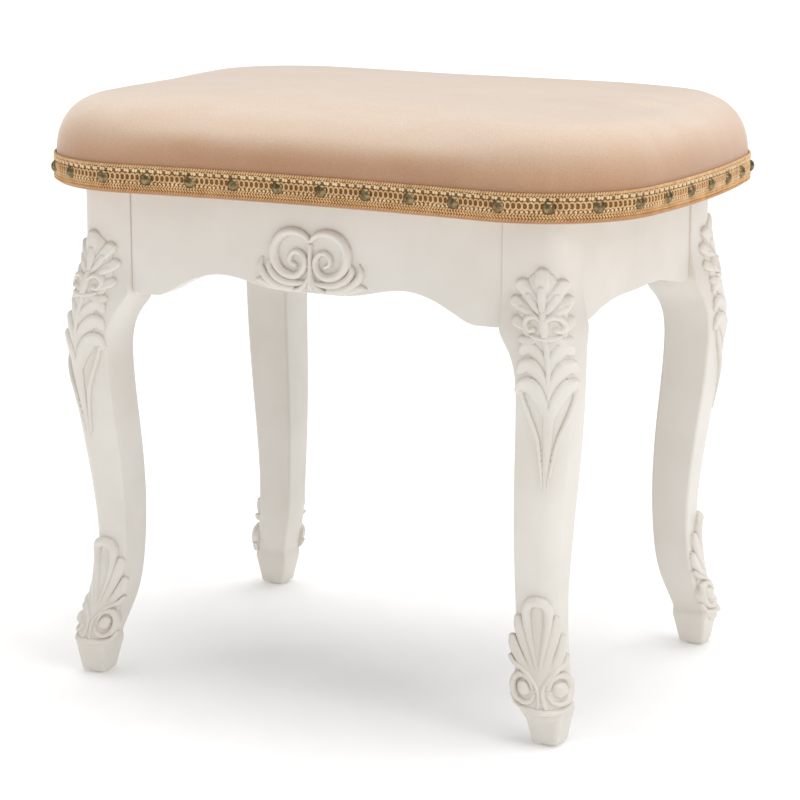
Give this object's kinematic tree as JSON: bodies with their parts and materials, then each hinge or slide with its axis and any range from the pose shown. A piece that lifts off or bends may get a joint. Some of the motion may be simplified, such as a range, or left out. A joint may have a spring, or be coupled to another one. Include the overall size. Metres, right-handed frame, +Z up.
{
  "type": "vanity stool",
  "caption": "Upholstered vanity stool: domed velvet seat edged with gimp braid and domed nails, shaped rails with a carved scroll, and carved cabriole legs in off-white paint.",
  "frame": {"origin": "on the floor, under the middle of the seat", "axes": "+Z up; +X along the long side of the seat; -Y is the front, with the carved scroll"},
  "size_m": [0.5388, 0.3624, 0.481],
  "materials": {
    "painted_wood": "satin off-white lacquer on solid wood and moulded carvings",
    "bare_wood": "planed, unfinished beech",
    "plywood": "sanded birch plywood",
    "velvet": "champagne cotton velvet with a short soft pile",
    "foam": "cut polyurethane seat foam",
    "gimp_braid": "woven golden gimp braid",
    "antique_brass": "antiqued domed nails",
    "zinc_steel": "bright zinc plated fasteners",
    "dust_cloth": "black non-woven cambric",
    "glide_nylon": "moulded nylon"
  },
  "bodies": {
    "root": {"apron_back": "painted_wood", "apron_dowels": "bare_wood", "apron_front": "painted_wood", "apron_left": "painted_wood", "apron_right": "painted_wood", "apron_scroll_front": "painted_wood", "braid_nails": "antique_brass", "corner_block_back_left": "bare_wood", "corner_block_back_right": "bare_wood", "corner_block_front_left": "bare_wood", "corner_block_front_right": "bare_wood", "corner_block_screws": "zinc_steel", "dust_cover": "dust_cloth", "dust_cover_staples": "zinc_steel", "foot_carving_back_left": "painted_wood", "foot_carving_back_right": "painted_wood", "foot_carving_front_left": "painted_wood", "foot_carving_front_right": "painted_wood", "foot_glide_back_left": "glide_nylon", "foot_glide_back_right": "glide_nylon", "foot_glide_front_left": "glide_nylon", "foot_glide_front_right": "glide_nylon", "gimp_braid": "gimp_braid", "knee_carving_back_left": "painted_wood", "knee_carving_back_right": "painted_wood", "knee_carving_front_left": "painted_wood", "knee_carving_front_right": "painted_wood", "leg_back_left": "painted_wood", "leg_back_right": "painted_wood", "leg_bolt_nuts": "zinc_steel", "leg_bolt_washers": "zinc_steel", "leg_front_left": "painted_wood", "leg_front_right": "painted_wood", "leg_hanger_bolts": "zinc_steel", "seat_board": "plywood", "seat_cover": "velvet", "seat_foam": "foam", "seat_screws": "zinc_steel"}
  },
  "joints": []
}
